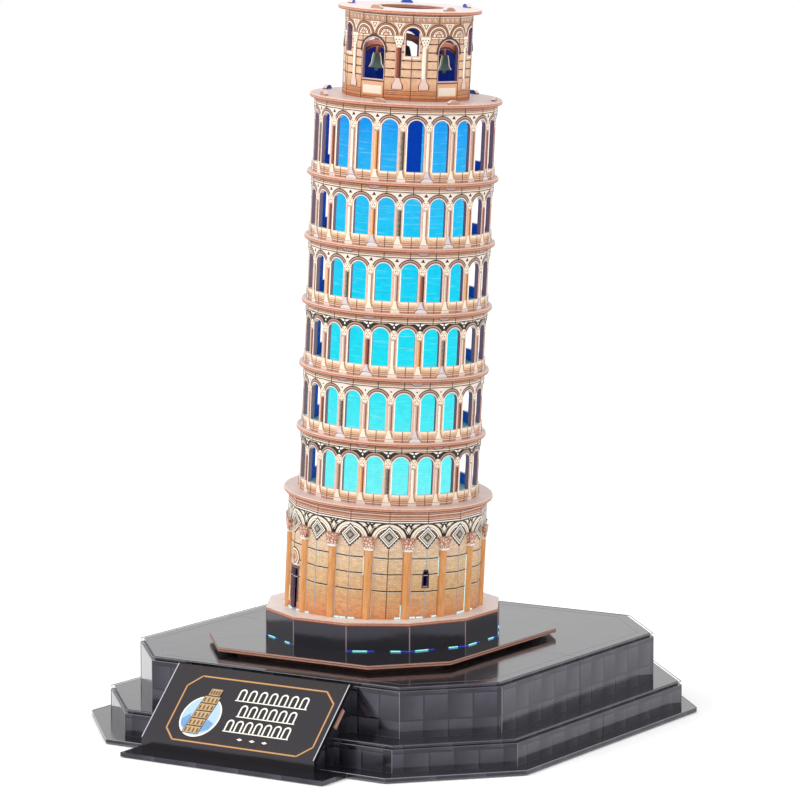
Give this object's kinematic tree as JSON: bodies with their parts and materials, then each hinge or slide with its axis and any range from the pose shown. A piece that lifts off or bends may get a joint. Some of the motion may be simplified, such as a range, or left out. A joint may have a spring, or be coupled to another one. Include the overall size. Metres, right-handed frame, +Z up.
{
  "type": "miniature leaning tower model",
  "caption": "Lit leaning bell-tower model of slotted foam board on a stepped black base with a sloped label and a light module inside.",
  "frame": {"origin": "centre of the footprint's box, on the surface the model rests on", "axes": "+Z up, +X to the right along the label, -Y towards the label side"},
  "size_m": [0.214, 0.2444, 0.3021],
  "materials": {
    "black_board": "gloss-laminated black foam board, light core at the folds",
    "raw_board": "bare foam board",
    "foot_board": "gloss black foam board with a copper-brown raw edge",
    "gallery_board": "printed foam board with a copper-brown raw edge",
    "printed_stone_board": "foam board printed with arcades and brickwork",
    "column_board": "printed half-round strip",
    "lit_core_sheet": "translucent sheet lit from inside",
    "bell_board": "printed board card",
    "housing_plastic": "fine matt texture",
    "screw_steel": "zinc plated",
    "board_laminate": "satin solder mask",
    "emitter_resin": "clear tinted resin",
    "diffuser_plastic": "frosted",
    "cell_jacket": "plain printed jacket",
    "contact_metal": "nickel plated",
    "switch_plastic": "matt",
    "slider_plastic": "matt"
  },
  "bodies": {
    "model": {"base_plate": "black_board", "lower_tier_front": "black_board", "lower_tier_back": "black_board", "upper_tier_front": "black_board", "upper_tier_back": "black_board", "label_panel": "black_board", "label_cheek_left": "black_board", "label_cheek_right": "black_board", "plinth_wall": "black_board", "rib_left": "raw_board", "rib_right": "raw_board", "label_strap": "raw_board", "foot_spacer": "raw_board", "foot_plate": "foot_board", "plinth_cap": "gallery_board", "ground_wall": "printed_stone_board", "ground_columns": "column_board", "gallery_ring_1": "gallery_board", "gallery_ring_2": "gallery_board", "gallery_ring_3": "gallery_board", "gallery_ring_4": "gallery_board", "gallery_ring_5": "gallery_board", "gallery_ring_6": "gallery_board", "gallery_ring_7": "gallery_board", "loggia_wall_2": "printed_stone_board", "loggia_wall_3": "printed_stone_board", "loggia_wall_4": "printed_stone_board", "loggia_wall_5": "printed_stone_board", "loggia_wall_6": "printed_stone_board", "loggia_wall_7": "printed_stone_board", "core_tube": "lit_core_sheet", "belfry_wall": "printed_stone_board", "belfry_ring": "gallery_board", "bell_cards": "bell_board", "light_housing_lower": "housing_plastic", "light_housing_upper": "housing_plastic", "housing_screws": "screw_steel", "circuit_board": "board_laminate", "light_emitters": "emitter_resin", "light_diffuser": "diffuser_plastic", "battery_cells": "cell_jacket", "battery_contacts": "contact_metal", "switch_body": "switch_plastic"},
    "battery_door": {"battery_door": "housing_plastic", "door_screw": "screw_steel"},
    "switch": {"switch_slider": "slider_plastic"}
  },
  "joints": [
    {"name": "battery_door_lift", "type": "slide", "parent": "model", "child": "battery_door", "axis": [0, 0, -1], "range_m": [0, 0.02]},
    {"name": "switch_slide", "type": "slide", "parent": "model", "child": "switch", "axis": [-1, 0, 0], "range_m": [0, 0.003]}
  ]
}
